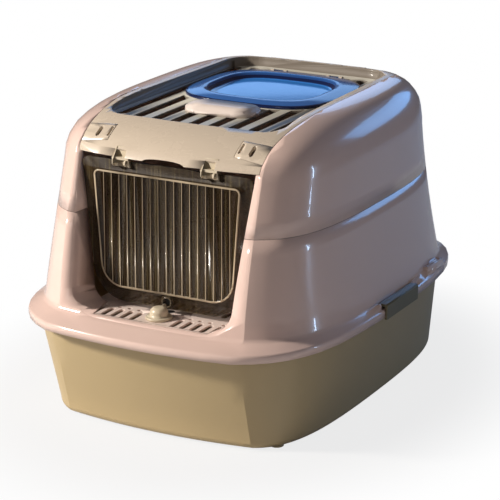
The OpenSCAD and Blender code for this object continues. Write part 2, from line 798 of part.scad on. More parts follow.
function lid_outline(grow, n) = [for (i = [0:n - 1]) let (u = 360 * i / n, c = cos(u), s = sin(u))
    [(lid_a + grow) * sign(c) * pow(abs(c), 2 / lid_squareness),
     lid_y + (lid_b + grow) * sign(s) * pow(abs(s), 2 / lid_squareness)]];
module lid_prism(grow, low, high) {
    translate([0, 0, low]) linear_extrude(high - low) polygon(lid_outline(grow, 56));
}
// The tray's plan: sides that follow the cover's edge, a bowed front and round corners.
module tray_plan(grow) {
    front_x = cover_half - 1 - tray_inset - tray_corner_r;
    back_x = cover_back_half - tray_inset - tray_back_r;
    hull() {
        for (s = [-1, 1]) {
            translate([s * front_x, tray_front + bow(70) + tray_corner_r])
                circle(tray_corner_r + grow, $fn = round_fn);
            translate([s * back_x, tray_back - tray_back_r])
                circle(tray_back_r + grow, $fn = round_fn);
        }
        polygon([for (x = [-60:20:60]) [x, tray_front + bow(x) - grow]]);
    }
}
module tray_prism(grow, low) {
    translate([0, 0, low]) linear_extrude(box_h + 10 - low) tray_plan(grow);
}
module grille_gap(x) {
    front = gap_front + bow(x);
    out = abs(x) / cover_half;
    back = tray_back - gap_back_in + 8 * pow(out, 2) - tray_corner_r * pow(out, 6);
    hull()
        for (y = [front + gap_w / 2, back - gap_w / 2])
            translate([x, y, tray_z - 12]) cylinder(h = 20, r = gap_w / 2, $fn = 20);
}
// Wedge cut in the front roll that clears one of the door's hinges.
module hinge_notch(s) {
    translate([s * hinge_gap / 2 - notch_half, 0, 0]) rotate([90, 0, 90]) linear_extrude(2 * notch_half)
        polygon([[-rim_b, lip_z - 5], [door_y + 5, lip_z - 5], [door_y + 5, lip_z], [door_y - 2, notch_top_z],
            [-rim_b, notch_top_z + 6]]);
}
module button_block(s, grow) {
    x0 = button_in_x - grow;
    x1 = cover_half + 5;
    translate([s * (x0 + x1) / 2, button_y, box_h - 20])
        cube([x1 - x0, button_l + 2 * grow, 80], center = true);
}
module lid_hinge_block(s, grow, back, low, high) {
    front = lid_axis_y - lid_hinge_r - grow;
    translate([s * lid_hinge_x, (front + back) / 2, (low + high) / 2])
        cube([lid_hinge_w + 2 * grow, back - front, high - low], center = true);
}
module cover_shell() {
    intersection() {
        difference() {
            hood_core(lip_z - 20, 0);
            hood_core(lip_z - 20, wall, 1);
        }
        cover_prism(0, lip_z);
    }
}
module cover_tray() {
    intersection() {
        hood_core(lip_z - 20, 0);
        union() {
            difference() {
                tray_prism(tray_wall, tray_z - tray_t);
                tray_prism(0, tray_z);
            }
            lid_prism(lid_rim_w, tray_z - seat_t, tray_z);
            lid_prism(-seat_out, tray_z - 1, lid_seat_z);
            for (s = [-1, 1])
                lid_hinge_block(s, 2, tray_back + tray_wall / 2, hinge_floor_z - seat_t, tray_z);
        }
    }
}
module top_cover() {
    hinge_cut_w = hinge_w + 2 * ear_gap;
    half_gaps = (gap_count - 1) / 2;
    color(beige) difference() {
        union() {
            difference() {
                cover_shell();
                tray_prism(0, tray_z - tray_t);
            }
            cover_tray();
            // Blocks that carry the door's hinge clips.
            intersection() {
                hood_core(lip_z - 20, slip);
                for (s = [-1, 1])
                    translate([s * hinge_gap / 2, door_y + 1, lip_z + 7])
                        cube([2 * (notch_half + 3), 30, 14], center = true);
            }
        }
        for (i = [-half_gaps:half_gaps]) difference() {
            grille_gap(i * gap_pitch);
            lid_prism(lid_rim_w, tray_z - 20, tray_z + 20);
            for (s = [-1, 1]) lid_hinge_block(s, 2, tray_back, tray_z - 20, tray_z + 20);
        }
        lid_prism(-seat_in, tray_z - 20, tray_z + 20);
        for (s = [-1, 1]) {
            hinge_notch(s);
            button_block(s, button_gap);
            lid_hinge_block(s, lid_relief, lid_axis_y + lid_hinge_r + lid_relief, hinge_floor_z - lid_plate_t,
                tray_z + 20);
            translate([s * hinge_x, cover_axis_y + 20 - hinge_r - ear_gap + eps, box_h])
                cube([hinge_cut_w, 40, 40], center = true);
        }
        // The back edge is rolled about the hinge's axis.
        difference() {
            translate([0, cover_axis_y + 25, box_h]) cube([rim_w, 50, 60], center = true);
            translate([0, cover_axis_y, cover_axis_z]) rotate([0, 90, 0])
                cylinder(h = rim_w, r = hinge_roll_r, center = true, $fn = pin_fn);
        }
        // Finger scoop in the front lip.
        translate([0, -rim_b, lip_z]) scale([finger_w / 2, 1, finger_h]) rotate([-90, 0, 0])
            cylinder(h = 90, r = 1, $fn = pin_fn);
    }
}
module cover_hinge_bracket(s) {
    wing = knuckle_l / 2 + ear_gap;
    plate_y = cover_back + cover_gap - hinge_plate_t;
    plate_high = cover_axis_z - hinge_r - 0.6;
    plate_low = plate_high - hinge_plate_h;
    color(beige) translate([s * hinge_x, 0, 0]) {
        translate([0, plate_y + hinge_plate_t / 2, (plate_low + plate_high) / 2])
            cube([hinge_w, hinge_plate_t, hinge_plate_h], center = true);
        for (e = [-1, 1]) translate([e * (wing + ear_t / 2), 0, 0]) difference() {
            union() {
                translate([0, cover_axis_y, cover_axis_z]) rotate([0, 90, 0])
                    cylinder(h = ear_t, r = hinge_r, center = true, $fn = pin_fn);
                translate([-ear_t / 2, cover_axis_y, plate_low])
                    cube([ear_t, plate_y + hinge_plate_t - cover_axis_y, cover_axis_z - plate_low]);
            }
            translate([0, cover_axis_y, cover_axis_z]) rotate([0, 90, 0])
                cylinder(h = 30, r = hinge_pin_d / 2 + run, center = true, $fn = pin_fn);
        }
    }
}
module cover_hinge_knuckle(s) {
    web_low = tray_z - 1;
    web_front = cover_axis_y - hinge_r - ear_gap;
    color(beige) translate([s * hinge_x, 0, 0]) difference() {
        union() {
            translate([0, cover_axis_y, cover_axis_z]) rotate([0, 90, 0])
                cylinder(h = knuckle_l, r = hinge_r, center = true, $fn = pin_fn);
            translate([-knuckle_l / 2, web_front, web_low])
                cube([knuckle_l, cover_axis_y - 2 - web_front, cover_axis_z - web_low]);
        }
        translate([0, cover_axis_y, cover_axis_z]) rotate([0, 90, 0])
            cylinder(h = 60, r = hinge_pin_d / 2 + run, center = true, $fn = pin_fn);
    }
}
module cover_hinge_pin(s) {
    color(steel) translate([s * hinge_x, cover_axis_y, cover_axis_z]) rotate([0, 90, 0])
        cylinder(h = hinge_w, r = hinge_pin_d / 2, center = true, $fn = pin_fn);
}
// Push button that releases the cover: a plate with two grip slots and a hidden brim.
module cover_button(s) {
    brim_top = wall + seat;
    brim_low = brim_top + 1.6;
    color(beige) difference() {
        union() {
            intersection() {
                hood_core(lip_z - 20, 0);
                button_block(s, 0);
                cover_prism(0, lip_z);
            }
            intersection() {
                hood_core(lip_z - 20, brim_top);
                button_block(s, button_brim);
                cover_prism(0, lip_z);
            }
        }
        hood_core(lip_z - 20, brim_low, 1);
        translate([s * (button_in_x + 17), button_y, box_h - 50]) linear_extrude(60) slot(5, 14);
        translate([s * (button_in_x + 3), button_y, box_h - 50]) linear_extrude(60) slot(2.6, 14);
    }
}

// ---- Lid ----
crest_h = 2.4;
dish_side = 23;
dish_end = 25;
dish_ahead = 4;
dish_a = lid_a - dish_side;
dish_b = lid_b - dish_end;
dish_y = lid_y - dish_ahead;
function lid_ring(a, b, y, z) = [for (i = [0:47]) let (u = 360 * i / 48, c = cos(u), s = sin(u))
    [a * sign(c) * pow(abs(c), 2 / lid_squareness), y + b * sign(s) * pow(abs(s), 2 / lid_squareness), z]];
module lid_panel() {
    lid_top_z = lid_seat_z + lid_edge_t;
    crest_z = lid_top_z + crest_h;
    dish_z = crest_z - dish_depth;
    color(lid_blue) difference() {
        union() {
            skin([
                lid_ring(dish_a - 14, dish_b - 14, dish_y, dish_z - lid_t + 0.6),
                lid_ring(dish_a - 5, dish_b - 5, dish_y, dish_z - lid_t + 1.6),
                lid_ring(dish_a + 2, dish_b + 2, dish_y, crest_z - lid_t - 0.4),
                lid_ring(dish_a + 8, dish_b + 8, dish_y + 1, crest_z - lid_t - 0.6),
                lid_ring(lid_a - lid_t - 1, lid_b - lid_t - 1, lid_y, lid_top_z - lid_t + 0.2),
                lid_ring(lid_a - lid_t, lid_b - lid_t, lid_y, lid_seat_z),
                lid_ring(lid_a, lid_b, lid_y, lid_seat_z),
                lid_ring(lid_a, lid_b, lid_y, lid_top_z - 0.8),
                lid_ring(lid_a - 1, lid_b - 1, lid_y, lid_top_z),
                lid_ring(dish_a + 8, dish_b + 8, dish_y + 1, crest_z - 0.4),
                lid_ring(dish_a + 3, dish_b + 3, dish_y, crest_z),
                lid_ring(dish_a, dish_b, dish_y, crest_z - 0.8),
                lid_ring(dish_a - 6, dish_b - 6, dish_y, dish_z + 1),
                lid_ring(dish_a - 12, dish_b - 12, dish_y, dish_z)]);
            for (s = [-1, 1]) translate([s * lid_hinge_x, lid_axis_y, 0]) {
                translate([0, 0, lid_axis_z]) rotate([0, 90, 0])
                    cylinder(h = lid_knuckle_l, r = lid_hinge_r, center = true, $fn = pin_fn);
                translate([-lid_knuckle_l / 2, -6, lid_seat_z]) cube([lid_knuckle_l, 6, lid_edge_t]);
            }
        }
        for (s = [-1, 1]) translate([s * lid_hinge_x, lid_axis_y, 0]) {
            translate([0, 0, lid_axis_z]) rotate([0, 90, 0])
                cylinder(h = 60, r = hinge_pin_d / 2 + run, center = true, $fn = pin_fn);
            for (e = [-1, 1])
                translate([e * (lid_knuckle_l / 2 + lid_ear_t / 2 + seat), 0, lid_axis_z])
                    cube([lid_ear_t + 2 * seat, 2 * (lid_hinge_r + lid_relief), 20], center = true);
        }
    }
}
module lid_hinge_bracket(s) {
    ear_x = lid_knuckle_l / 2 + seat + lid_ear_t / 2;
    color(beige) translate([s * lid_hinge_x, lid_axis_y, 0]) {
        translate([0, 0, hinge_floor_z - lid_plate_t / 2])
            cube([lid_hinge_w, 2 * lid_hinge_r, lid_plate_t], center = true);
        for (e = [-1, 1]) translate([e * ear_x, 0, 0]) difference() {
            union() {
                translate([0, 0, lid_axis_z]) rotate([0, 90, 0])
                    cylinder(h = lid_ear_t, r = lid_hinge_r, center = true, $fn = pin_fn);
                translate([-lid_ear_t / 2, -lid_hinge_r, hinge_floor_z - lid_plate_t])
                    cube([lid_ear_t, 2 * lid_hinge_r, lid_axis_z - hinge_floor_z + lid_plate_t]);
            }
            translate([0, 0, lid_axis_z]) rotate([0, 90, 0])
                cylinder(h = 30, r = hinge_pin_d / 2 + run, center = true, $fn = pin_fn);
        }
    }
}
module lid_hinge_pin(s) {
    color(steel) translate([s * lid_hinge_x, lid_axis_y, lid_axis_z]) rotate([0, 90, 0])
        cylinder(h = lid_hinge_w, r = hinge_pin_d / 2, center = true, $fn = pin_fn);
}

// ---- Lid latch ----
latch_w = 88;
latch_l = 50;
latch_h = 7;
latch_front_gap = 10;    // from the latch to the lid
latch_tooth_gap = 0.8;
latch_teeth = 5;
latch_pitch = 9;
latch_tooth_w = 5;
latch_corner_r = 21;
latch_y = lid_y - lid_b - latch_front_gap - latch_l / 2;
guide_l = 16;
keeper_plate_t = 2;
keeper_over = 10;
keeper_corner_r = 5;
module lid_latch() {
    tooth_l = latch_front_gap - latch_tooth_gap;
    post_h = tray_t + seat + 1;
    color([0.90, 0.86, 0.84]) translate([0, latch_y, tray_z]) {
        linear_extrude(latch_h - 2) rounded_rect(latch_w, latch_l, latch_corner_r);
        linear_extrude(latch_h) rounded_rect(latch_w - 6, latch_l - 6, latch_corner_r - 3);
        for (i = [0:latch_teeth - 1]) let (x = (i - (latch_teeth - 1) / 2) * latch_pitch)
            translate([x - latch_tooth_w / 2, latch_l / 2 - 1, 0.4]) cube([latch_tooth_w, tooth_l + 1, 3]);
        for (s = [-1, 1])
            translate([s * gap_pitch, 0, 1 - post_h]) linear_extrude(post_h)
                rounded_rect(gap_w - 2 * seat, guide_l, 3);
    }
}
module lid_latch_keeper() {
    color(dark) translate([0, latch_y, tray_z - tray_t - seat - keeper_plate_t])
        linear_extrude(keeper_plate_t) rounded_rect(2 * (gap_pitch + keeper_over), guide_l, keeper_corner_r);
}

// ---- Side clips ----
clip_t = 2.2;
clip_round = 2;
clip_proud = 2.6;
clip_drop = 2.4;
clip_face_x = rim_a + clip_proud;
clip_low_z = rim_low - clip_drop;
clip_top_z = clip_axis_z + clip_r;
hook_reach = 3.2;
hook_t = 1.8;
module clip_profile() {
    translate([clip_axis_x + slip, clip_top_z - clip_t])
        square([clip_face_x - clip_axis_x - slip - clip_round, clip_t]);
    translate([clip_face_x - clip_round, clip_top_z - clip_round]) circle(clip_round, $fn = pin_fn);
    translate([clip_face_x - clip_t, clip_low_z]) square([clip_t, clip_top_z - clip_round - clip_low_z]);
    translate([clip_face_x - hook_reach, clip_low_z]) square([hook_reach, hook_t]);
}
module side_clip(s) {
    color(olive) translate([0, clip_y, 0]) mirror([s < 0 ? 1 : 0, 0, 0]) difference() {
        union() {
            translate([clip_axis_x, 0, clip_axis_z]) rotate([90, 0, 0])
                cylinder(h = clip_l, r = clip_r, center = true, $fn = pin_fn);
            rotate([90, 0, 0]) linear_extrude(clip_l, center = true) clip_profile();
        }
        translate([clip_axis_x, 0, clip_axis_z]) rotate([90, 0, 0])
            cylinder(h = clip_l + 2, r = clip_pin_d / 2 + run, center = true, $fn = pin_fn);
    }
}
module clip_pin(s) {
    color(steel) translate([s * clip_axis_x, clip_y, clip_axis_z]) rotate([90, 0, 0])
        cylinder(h = clip_l + 2 * clip_notch_gap, r = clip_pin_d / 2, center = true, $fn = pin_fn);
}

// Which pieces are drawn.
base_pan();
hood_lower();
hood_upper();
entry_deck();
sill_magnet();
door_bolt();
bolt_keeper();
keeper_screw();
door_panel();
bolt_socket();
door_magnet();
door_hinge_clip(-1);  // door_hinge_clip_left
door_hinge_clip(1);  // door_hinge_clip_right
door_pin(-1);  // door_pin_left
door_pin(1);  // door_pin_right
top_cover();
cover_hinge_bracket(-1);  // cover_hinge_bracket_left
cover_hinge_bracket(1);  // cover_hinge_bracket_right
cover_hinge_knuckle(-1);  // cover_hinge_knuckle_left
cover_hinge_knuckle(1);  // cover_hinge_knuckle_right
cover_hinge_pin(-1);  // cover_hinge_pin_left
cover_hinge_pin(1);  // cover_hinge_pin_right
cover_button(-1);  // cover_button_left
cover_button(1);  // cover_button_right
lid_panel();
lid_hinge_bracket(-1);  // lid_hinge_bracket_left
lid_hinge_bracket(1);  // lid_hinge_bracket_right
lid_hinge_pin(-1);  // lid_hinge_pin_left
lid_hinge_pin(1);  // lid_hinge_pin_right
lid_latch();
lid_latch_keeper();
side_clip(-1);  // side_clip_left
side_clip(1);  // side_clip_right
clip_pin(-1);  // clip_pin_left
clip_pin(1);  // clip_pin_right
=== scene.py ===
import json
import math

import bmesh
import bpy
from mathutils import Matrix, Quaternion, Vector


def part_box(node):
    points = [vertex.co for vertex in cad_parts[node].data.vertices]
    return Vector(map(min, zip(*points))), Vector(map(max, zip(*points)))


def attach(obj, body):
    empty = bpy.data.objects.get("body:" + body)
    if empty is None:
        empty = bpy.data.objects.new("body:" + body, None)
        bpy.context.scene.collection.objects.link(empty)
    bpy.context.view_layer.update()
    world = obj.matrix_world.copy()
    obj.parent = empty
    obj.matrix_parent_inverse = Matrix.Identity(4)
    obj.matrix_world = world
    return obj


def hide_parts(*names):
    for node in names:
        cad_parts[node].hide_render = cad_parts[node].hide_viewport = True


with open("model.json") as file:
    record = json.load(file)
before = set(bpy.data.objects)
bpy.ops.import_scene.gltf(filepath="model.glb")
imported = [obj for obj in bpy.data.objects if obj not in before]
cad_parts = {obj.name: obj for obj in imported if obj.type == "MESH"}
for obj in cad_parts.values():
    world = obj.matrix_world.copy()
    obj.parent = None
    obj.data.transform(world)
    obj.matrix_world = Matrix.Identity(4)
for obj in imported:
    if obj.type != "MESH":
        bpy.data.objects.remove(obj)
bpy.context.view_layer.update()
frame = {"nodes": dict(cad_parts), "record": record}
mm = 0.001

# ---- Camera ----
# A long lens at standing height, turned to the front right corner of the box. Colours are
# shown as they are, with no film curve.
camera = bpy.data.objects.new("camera", bpy.data.cameras.new("camera"))
bpy.context.scene.collection.objects.link(camera)
turn, tilt, roll = math.radians(27.726), math.radians(17.162), math.radians(0.27)
backwards = Vector((math.sin(turn) * math.cos(tilt), -math.cos(turn) * math.cos(tilt), math.sin(tilt)))
camera.location = (1.0969, -2.0794, 0.8840)
camera.rotation_mode = "QUATERNION"
camera.rotation_quaternion = (-backwards).to_track_quat("-Z", "Y") @ Quaternion((0, 0, 1), roll)
camera.data.sensor_width = 36
camera.data.lens = 148.176
bpy.context.scene.camera = camera
bpy.context.scene.view_settings.view_transform = "Standard"


# ---- Studio ----
# A warm key from the front left with a faint fill in front, a tall narrow strip on the right
# that draws the highlight of the front corner, and two blue panels behind for the long sheens.
# The floor is a white sweep, and the surroundings are dim pink but white to the camera.
def lamp(name, place, aim, size, power, tint):
    data = bpy.data.lights.new(name, "AREA")
    data.shape = "RECTANGLE"
    data.size, data.size_y = size
    data.energy = power
    data.color = tint
    lamp_object = bpy.data.objects.new(name, data)
    lamp_object.location = place
    lamp_object.rotation_euler = (Vector(aim) - Vector(place)).to_track_quat("-Z", "Y").to_euler()
    bpy.context.scene.collection.objects.link(lamp_object)


lamp("key", (-1.95, -1.6, 1.45), (0, 0, 0.2), (0.3, 0.3), 105, (1, 0.93, 0.86))
lamp("back_panel", (-1.0, 2.2, 1.15), (0, 0.1, 0.3), (1.3, 0.6), 4.5, (0.3, 0.56, 1))
lamp("corner_strip", (2.3, 0.7, 0.5), (0.1, -0.2, 0.3), (0.05, 0.96), 5, (0.5, 0.7, 1))
lamp("side_panel", (0.8, 2.35, 1.1), (0.1, 0.1, 0.25), (1.3, 0.6), 8, (0.2, 0.48, 1))
lamp("front_fill", (0.4, -2.6, 1.3), (0, 0, 0.15), (1.0, 0.8), 4, (1, 0.93, 0.87))


# Shader sockets that take part in plain sums, and one method for every other node.
class Wire:
    def __init__(self, finish, socket):
        self.finish, self.socket = finish, socket

    def sum(self, operation, *others, first=None):
        values = [self if first is None else first] + list(others)
        return self.finish.node("ShaderNodeMath", {"operation": operation}, *values).out(0)

    def __add__(self, other): return self.sum("ADD", other)
    def __radd__(self, other): return self.sum("ADD", other)
    def __sub__(self, other): return self.sum("SUBTRACT", other)
    def __rsub__(self, other): return self.sum("SUBTRACT", self, first=other)
    def __mul__(self, other): return self.sum("MULTIPLY", other)
    def __rmul__(self, other): return self.sum("MULTIPLY", other)
    def most(self, other): return self.sum("MAXIMUM", other)

    def ramp(self, low, high):
        settings = {"interpolation_type": "SMOOTHSTEP"}
        return self.finish.node("ShaderNodeMapRange", settings, self, low, high).out(0)


class Placed:
    def __init__(self, finish, node):
        self.finish, self.raw = finish, node

    def out(self, key):
        return Wire(self.finish, self.raw.outputs[key])


class Finish:
    def __init__(self, name):
        self.material = bpy.data.materials.new(name)
        self.material.use_nodes = True
        self.tree = self.material.node_tree
        self.shader = next(n for n in self.tree.nodes if n.type == "BSDF_PRINCIPLED")
        self.here = self.node("ShaderNodeTexCoord").out("Object")

    def plug(self, socket, value):
        if isinstance(value, Wire):
            self.tree.links.new(value.socket, socket)
        elif socket.type == "RGBA" and len(value) == 3:
            socket.default_value = (*value, 1)
        else:
            socket.default_value = value

    def node(self, kind, settings=None, *values, **named):
        made = self.tree.nodes.new(kind)
        for key, value in (settings or {}).items():
            setattr(made, key, value)
        for socket, value in zip(made.inputs, values):
            self.plug(socket, value)
        for key, value in named.items():
            self.plug(made.inputs[key.replace("_", " ")], value)
        return Placed(self, made)

    def noise(self, scale, detail=2.0, roughness=0.5, stretch=None):
        where = self.here
        if stretch:
            where = self.node("ShaderNodeVectorMath", {"operation": "MULTIPLY"}, where, stretch).out(0)
        return self.node("ShaderNodeTexNoise", None, Vector=where, Scale=scale, Detail=detail,
                         Roughness=roughness).out("Fac")

    def part(self, axis):
        return self.node("ShaderNodeSeparateXYZ", None, self.here).out(axis)

    def facing(self, axis, normal="True Normal"):
        """How far the surface faces along an axis, from -1 to 1."""
        direction = self.node("ShaderNodeNewGeometry").out(normal)
        return self.node("ShaderNodeSeparateXYZ", None, direction).out(axis)

    def tone(self, share, low, high):
        mix = self.node("ShaderNodeMix", {"data_type": "RGBA"})
        self.plug(mix.raw.inputs["Factor"], share)
        self.plug(mix.raw.inputs[6], low)
        self.plug(mix.raw.inputs[7], high)
        return mix.out(2)

    def edges(self, width):
        """0 on open surfaces, rising to 1 where the surface turns sharply within the width."""
        rounded = self.node("ShaderNodeBevel", {"samples": 4}, width).out(0)
        flat = self.node("ShaderNodeNewGeometry").out("Normal")
        same = self.node("ShaderNodeVectorMath", {"operation": "DOT_PRODUCT"}, rounded, flat).out("Value")
        return (1 - same).ramp(0.02, 0.3)

    def set(self, **named):
        for key, value in named.items():
            self.plug(self.shader.inputs[key.replace("_", " ")], value)

    def fed(self, name):
        """What a socket of the finish is fed so far."""
        return Wire(self, self.shader.inputs[name].links[0].from_socket)

    def relief(self, height, strength, depth, rounding):
        rounded = self.node("ShaderNodeBevel", {"samples": 4}, rounding).out(0)
        self.set(Normal=self.node("ShaderNodeBump", None, Strength=strength, Distance=depth, Height=height,
                                  Normal=rounded).out(0))


# The sweep keeps the box's soft shadow near it and turns plain white further out.
sweep = Finish("studio_sweep")
sweep.set(Base_Color=(0.6, 0.6, 0.6), Roughness=0.8)
outline = sweep.node("ShaderNodeVectorMath", {"operation": "MULTIPLY"}, sweep.here, (1.3, 1, 1)).out(0)
far = sweep.node("ShaderNodeVectorMath", {"operation": "LENGTH"}, outline).out("Value").ramp(0.3, 0.52)
seen = sweep.node("ShaderNodeLightPath").out("Is Camera Ray")
white = sweep.node("ShaderNodeEmission", None, Color=(1, 1, 1), Strength=1.0).out(0)
plain = Wire(sweep, sweep.shader.outputs[0])
mixed = sweep.node("ShaderNodeMixShader", None, (far * 0.2 + 0.8) * seen, plain, white).out(0)
output = next(n for n in sweep.tree.nodes if n.type == "OUTPUT_MATERIAL")
sweep.plug(output.inputs["Surface"], mixed)
bpy.ops.object.select_all(action="DESELECT")
bpy.ops.mesh.primitive_plane_add(size=14, location=(0, 0, 0))
floor = bpy.context.object
floor.name = "studio_floor"
floor.data.materials.append(sweep.material)
world = bpy.data.worlds.new("studio")
bpy.context.scene.world = world
world.use_nodes = True
glow = world.node_tree.nodes["Background"]
glow.inputs["Color"].default_value = (1, 0.88, 0.9, 1)
glow.inputs["Strength"].default_value = 0.095
plain_white = world.node_tree.nodes.new("ShaderNodeBackground")
plain_white.inputs["Color"].default_value = (1, 1, 1, 1)
to_camera = world.node_tree.nodes.new("ShaderNodeLightPath")
either = world.node_tree.nodes.new("ShaderNodeMixShader")
link = world.node_tree.links.new
link(to_camera.outputs["Is Camera Ray"], either.inputs[0])
link(glow.outputs[0], either.inputs[1])
link(plain_white.outputs[0], either.inputs[2])
link(either.outputs[0], world.node_tree.nodes["World Output"].inputs["Surface"])


# ---- Pan ----
# The deep khaki pan that holds the litter: one moulding in matte plastic with a turned-out
# lip, a rounded bottom edge and four round feet. Fine skin, scuffed in patches on its edges.
def ring(half_width, front, back, z):
    """Points round the box's plan: a bowed front and back, tight corners, long bowed sides."""
    corner_steps, bow_steps = 22, 8
    bow_radius, crease, crease_share = 640 * mm, 118 * mm, 0.72
    slope, pull, side_pull = math.radians(26), 0.97, 0.61
    middle, half_length = (front + back) / 2, (back - front) / 2
    kx = min(crease, crease_share * half_width)

    def bow(x):
        return bow_radius - math.sqrt(bow_radius ** 2 - x ** 2)

    ky = half_length - bow(kx)
    reach = pull * (half_width - kx)
    curve = [Vector((half_width, 0)), Vector((half_width, side_pull * ky)),
             Vector((kx + reach * math.cos(slope), ky - reach * math.sin(slope))), Vector((kx, ky))]
    quarter = []
    for i in range(corner_steps):
        t = i / corner_steps
        share = [(1 - t) ** 3, 3 * (1 - t) ** 2 * t, 3 * (1 - t) * t * t, t ** 3]
        quarter.append(sum((w * p for w, p in zip(share, curve)), Vector((0, 0))))
    for i in range(bow_steps + 1):
        x = kx * (1 - i / bow_steps)
        quarter.append(Vector((x, half_length - bow(x))))
    there, back_again = quarter[:-1], quarter[:0:-1]
    plan = ([(p.x, p.y) for p in there] + [(-p.x, p.y) for p in back_again]
            + [(-p.x, -p.y) for p in there] + [(p.x, -p.y) for p in back_again])
    return [Vector((x, middle + y, z)) for x, y in plan]


def skin(name, rings, looped=False):
    """A closed body through rings of points: a circle of edges, extruded on to each ring in turn."""
    count = len(rings[0])
    bpy.ops.object.select_all(action="DESELECT")
    bpy.ops.mesh.primitive_circle_add(vertices=count, radius=1)
    body = bpy.context.object
    body.name = name
    bpy.ops.object.mode_set(mode="EDIT")
    mesh = bmesh.from_edit_mesh(body.data)
    place = mesh.verts.layers.int.new("place")
    for i, point in enumerate(mesh.verts):
        point[place] = i
    bmesh.update_edit_mesh(body.data)
    bpy.ops.mesh.select_all(action="SELECT")
    for number, points in enumerate(rings):
        if number:
            bpy.ops.mesh.extrude_edges_move()
        mesh = bmesh.from_edit_mesh(body.data)
        place = mesh.verts.layers.int["place"]
        for point in mesh.verts:
            if point.select:
                point.co = points[point[place]]
        bmesh.update_edit_mesh(body.data)
    mesh = bmesh.from_edit_mesh(body.data)
    if looped:
        for edge in mesh.edges:
            edge.select_set(edge.is_boundary)
        bmesh.update_edit_mesh(body.data)
        bpy.ops.mesh.bridge_edge_loops()
    else:
        bpy.ops.mesh.edge_face_add()
        bpy.ops.mesh.select_all(action="DESELECT")
        mesh = bmesh.from_edit_mesh(body.data)
        mesh.verts.ensure_lookup_table()
        for point in mesh.verts[:count]:
            point.select_set(True)
        mesh.select_flush(True)
        bmesh.update_edit_mesh(body.data)
        bpy.ops.mesh.edge_face_add()
    bpy.ops.mesh.select_all(action="SELECT")
    bpy.ops.mesh.normals_make_consistent(inside=False)
    bpy.ops.object.mode_set(mode="OBJECT")
    return body


def bevel(piece, width, segments):
    """Rounds the piece's edges that turn by more than 30 degrees."""
    rounding = piece.modifiers.new("rounding", "BEVEL")
    rounding.width, rounding.segments, rounding.limit_method = width, segments, "ANGLE"
    bpy.ops.object.modifier_apply(modifier=rounding.name)


def join_to(piece):
    """Joins what is selected to the piece."""
    piece.select_set(True)
    bpy.context.view_layer.objects.active = piece
    bpy.ops.object.join()


def finish_piece(piece, finish, body, slot, *nodes, angle=34):
    """Smooths gentle slopes, dresses the piece and binds it to the frame."""
    bpy.ops.object.select_all(action="DESELECT")
    piece.select_set(True)
    bpy.context.view_layer.objects.active = piece
    bpy.ops.object.shade_smooth_by_angle(angle=math.radians(angle))
    piece.data.materials.clear()
    piece.data.materials.append(finish.material)
    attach(piece, body)
    if nodes:
        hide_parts(*nodes)


def moulded(name, low, high, gloss, grain, grain_scale=900, rounding=0.0007, haze=0.08, worn=None):
    """A moulded plastic: drift of colour, skin grain, handling haze in the gloss, rubbed edges."""
    plastic = Finish(name)
    drift = plastic.noise(9, 3)
    colour = plastic.tone(drift, low, high)
    if worn:
        patchy = plastic.noise(40, 4, 0.6).ramp(0.35, 0.65)
        colour = plastic.tone(plastic.edges(0.0012) * patchy * 0.6, colour, worn)
    smear = plastic.noise(26, 5, 0.62)
    hairlines = plastic.noise(60, 2, 0.5, (1, 1, 14)).ramp(0.62, 0.8)
    plastic.set(Base_Color=colour, Roughness=smear * haze + hairlines * 0.06 + (gloss - haze / 2))
    plastic.relief(plastic.noise(grain_scale, 3, 0.6), 0.35, grain, rounding)
    return plastic


rim_a, rim_b, pan_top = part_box("base_pan")[1]
edge_radius, pan_wall = 10 * mm, 2.6 * mm
lip_width, lip_extra, lip_depth = 9.3 * mm, 1.7 * mm, 2.6 * mm
lip_over, lip_under = 0.6 * mm, 0.4 * mm
foot_height, foot_radius, foot_in_x, foot_in_y = 1.6 * mm, 8 * mm, 36 * mm, 42 * mm
flange_over, draw_side, draw_front, draw_back = 3.7 * mm, 29 * mm, 47 * mm, 16 * mm
pan_a = rim_a + flange_over - draw_side
pan_front, pan_back = -rim_b - flange_over + draw_front, rim_b + flange_over - draw_back
top_a, top_b = rim_a - lip_width, rim_b - lip_width - lip_extra


def pan_ring(z, inset):
    share = (z - foot_height - edge_radius) / (pan_top - foot_height - edge_radius)
    return ring(pan_a + (top_a - pan_a) * share - inset, pan_front + (-top_b - pan_front) * share + inset,
                pan_back + (top_b - pan_back) * share - inset, z)


def pan_edge(inset):
    """The rounded edge between the floor and the walls, from the floor up."""
    radius = edge_radius - inset
    for turn in range(0, 90, 11):
        angle = math.radians(turn)
        draw = edge_radius - radius * math.sin(angle)
        yield ring(pan_a - draw, pan_front + draw, pan_back - draw,
                   foot_height + edge_radius - radius * math.cos(angle))


wall_low = foot_height + edge_radius
wall_heights = [wall_low + (pan_top - lip_depth - wall_low) * i / 5 for i in range(6)]
lip_rings = [ring(rim_a - draw, -rim_b + draw, rim_b - draw, z) for draw, z in (
    (lip_under, pan_top - lip_depth), (0, pan_top - lip_depth + lip_under), (0, pan_top - lip_over),
    (lip_over, pan_top))]
pan = skin("pan_shell", [*pan_edge(0), *(pan_ring(z, 0) for z in wall_heights), *lip_rings,
    pan_ring(pan_top, pan_wall), *(pan_ring(z, pan_wall) for z in reversed(wall_heights)),
    *reversed(list(pan_edge(pan_wall)))])
foot_depth = foot_height + 1 * mm
for foot_x in (-pan_a + foot_in_x, pan_a - foot_in_x):
    for foot_y in (pan_front + foot_in_y, pan_back - foot_in_y):
        bpy.ops.object.select_all(action="DESELECT")
        bpy.ops.mesh.primitive_cylinder_add(vertices=48, radius=foot_radius, depth=foot_depth,
                                            location=(foot_x, foot_y, foot_depth / 2))
        bevel(bpy.context.object, 0.5 * mm, 3)
        join_to(pan)
